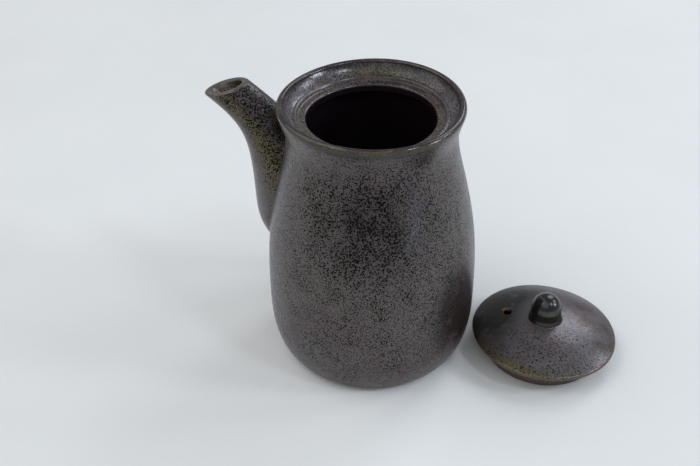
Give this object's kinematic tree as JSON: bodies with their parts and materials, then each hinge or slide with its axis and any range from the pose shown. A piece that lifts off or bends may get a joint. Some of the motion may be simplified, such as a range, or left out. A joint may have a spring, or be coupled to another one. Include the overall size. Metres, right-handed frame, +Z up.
{
  "type": "lidded sake bottle",
  "caption": "Waisted stoneware sake bottle with a horn-shaped pouring spout and a domed, knobbed lid laid beside it.",
  "frame": {"origin": "centre of the bottle's foot ring, on the table", "axes": "+Z up along the bottle's axis, -X towards the tip of the spout, +Y to the left of the spout seen from behind it; the lid lies on the +X side"},
  "size_m": [0.1958, 0.102, 0.129],
  "materials": {
    "vessel_glaze": "satin",
    "spout_glaze": "satin",
    "lid_glaze": "satin",
    "knob_glaze": "gloss"
  },
  "bodies": {
    "bottle": {"vessel": "vessel_glaze", "spout": "spout_glaze"},
    "lid": {"lid_cap": "lid_glaze", "lid_knob": "knob_glaze"}
  },
  "joints": [
    {"name": "lid_lift", "type": "slide", "parent": "bottle", "child": "lid", "axis": [0, 0, 1], "range_m": [0, 0.14]}
  ]
}
